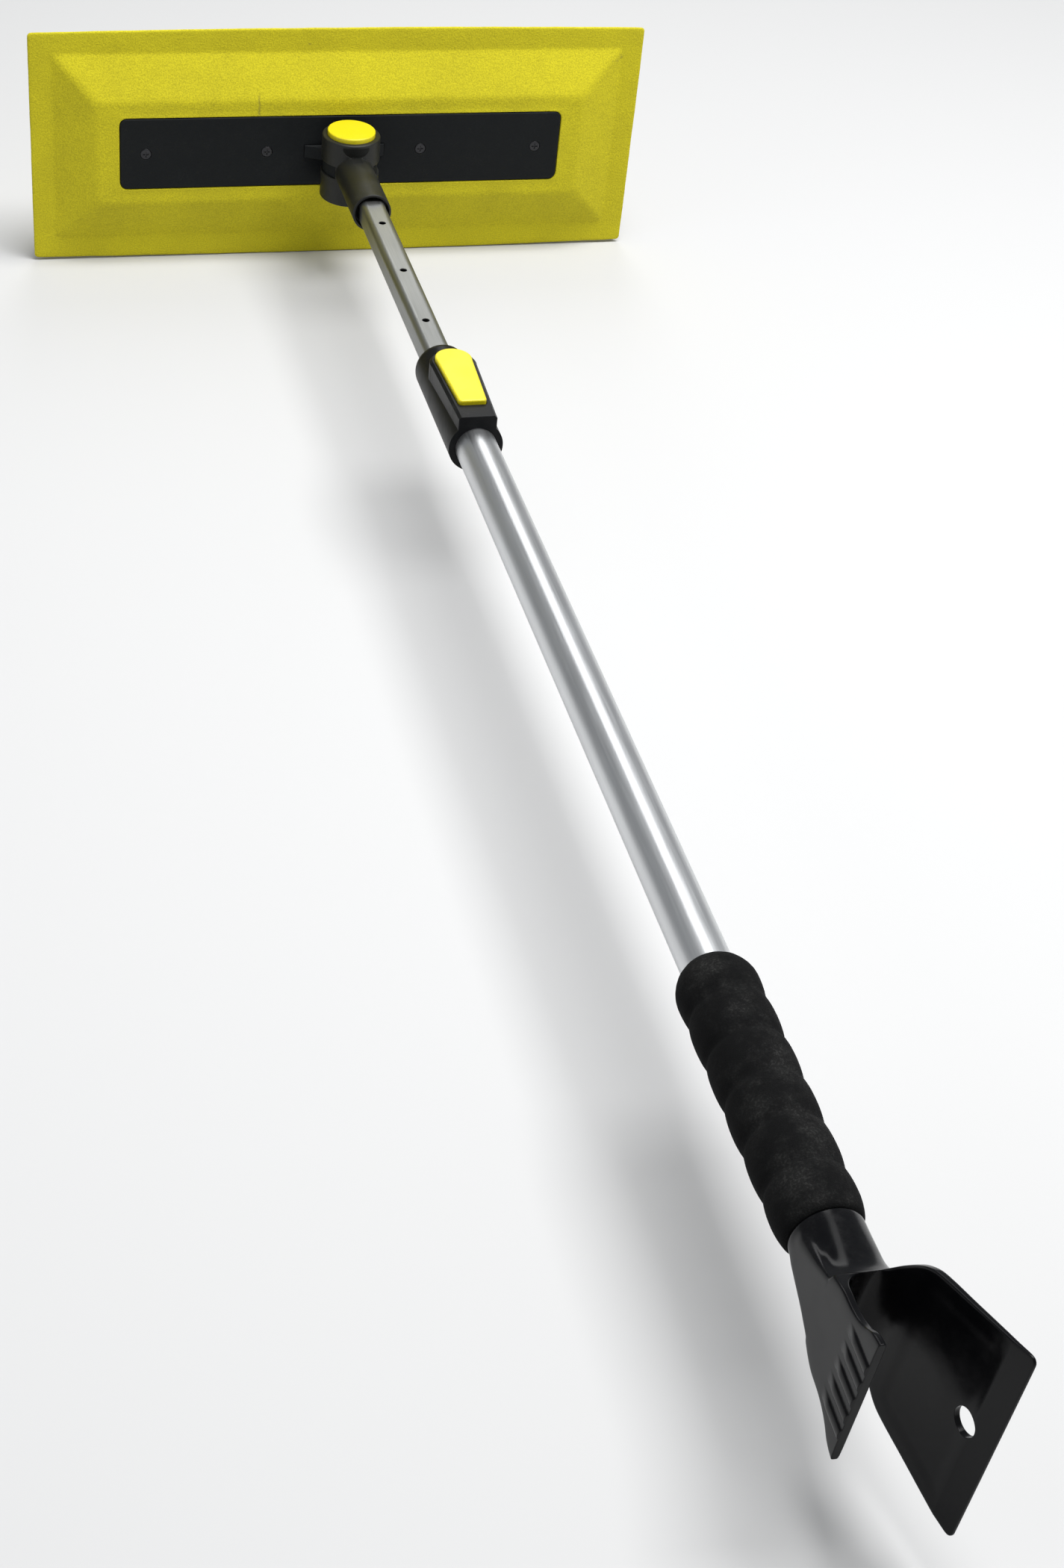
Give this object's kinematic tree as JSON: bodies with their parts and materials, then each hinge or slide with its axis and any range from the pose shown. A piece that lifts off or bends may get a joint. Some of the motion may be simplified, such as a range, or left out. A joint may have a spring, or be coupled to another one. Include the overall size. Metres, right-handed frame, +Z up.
{
  "type": "snow brush and ice scraper",
  "caption": "Telescoping snow broom with a foam push head on a lockable pivot, a foam grip and a forked ice scraper with a chipper.",
  "frame": {"origin": "on the ground under the middle of the overall box, with the foam head standing on its long lower edge", "axes": "+Y along the pole toward the foam head, +Z up along the head pivot's axis with the pivot button on top, +X across the head"},
  "size_m": [0.4572, 1.201, 0.1778],
  "materials": {
    "head_foam": "closed-cell foam, fine pebbled grain, matt",
    "core_plastic": "plain hidden board",
    "plate_plastic": "fine grained moulded plastic, matt",
    "hub_plastic": "satin moulded plastic",
    "screw_steel": "zinc plated",
    "screw_steel_black": "black oxide",
    "spring_steel": "spring wire",
    "button_plastic": "satin to gloss moulded plastic",
    "gear_plastic": "natural acetal",
    "glide_plastic": "smooth low friction plastic",
    "bare_aluminium": "drawn, fine lengthwise lines",
    "anodised_aluminium": "satin anodised",
    "housing_plastic": "satin moulded plastic",
    "grip_foam": "soft matt foam",
    "scraper_plastic": "semi-gloss tough moulded plastic"
  },
  "bodies": {
    "handle": {"outer_tube": "anodised_aluminium", "guide_bush": "glide_plastic", "latch_housing": "housing_plastic", "latch_axle": "screw_steel", "housing_screw": "screw_steel", "latch_spring": "spring_steel", "foam_grip": "grip_foam", "scraper": "scraper_plastic", "scraper_screw": "screw_steel"},
    "neck": {"inner_tube": "bare_aluminium", "tail_glide": "glide_plastic", "neck_fork": "hub_plastic", "hub_floor": "hub_plastic", "neck_screw": "screw_steel", "hub_spring": "spring_steel"},
    "head": {"foam_head": "head_foam", "core_board": "core_plastic", "backing_plate": "plate_plastic", "plate_screw_1": "screw_steel_black", "plate_screw_2": "screw_steel_black", "plate_screw_3": "screw_steel_black", "plate_screw_4": "screw_steel_black", "hub_bracket": "plate_plastic"},
    "pivot_button": {"hub_button": "button_plastic", "lock_gear": "gear_plastic", "gear_screw": "screw_steel"},
    "latch_key": {"latch_button": "button_plastic", "lock_pin": "screw_steel"}
  },
  "joints": [
    {"name": "pole_slide", "type": "slide", "parent": "handle", "child": "neck", "axis": [0, 1, 0], "range_m": [-0.21105, 0.21105]},
    {"name": "head_pivot", "type": "hinge", "parent": "neck", "child": "head", "pos_m": [0, 0.556, 0.0889], "axis": [0, 0, 1], "range_deg": [-90, 90]},
    {"name": "pivot_button_press", "type": "slide", "parent": "neck", "child": "pivot_button", "axis": [0, 0, -1], "range_m": [0, 0.004], "stiffness_N_per_m": 500, "springref_m": -0.002, "deforming": ["hub_spring"]},
    {"name": "latch_press", "type": "hinge", "parent": "handle", "child": "latch_key", "pos_m": [0, 0.1995, 0.1073], "axis": [1, 0, 0], "range_deg": [0, 6], "stiffness_Nm_per_rad": 1.2, "springref_deg": -2.86, "deforming": ["latch_spring"]}
  ]
}
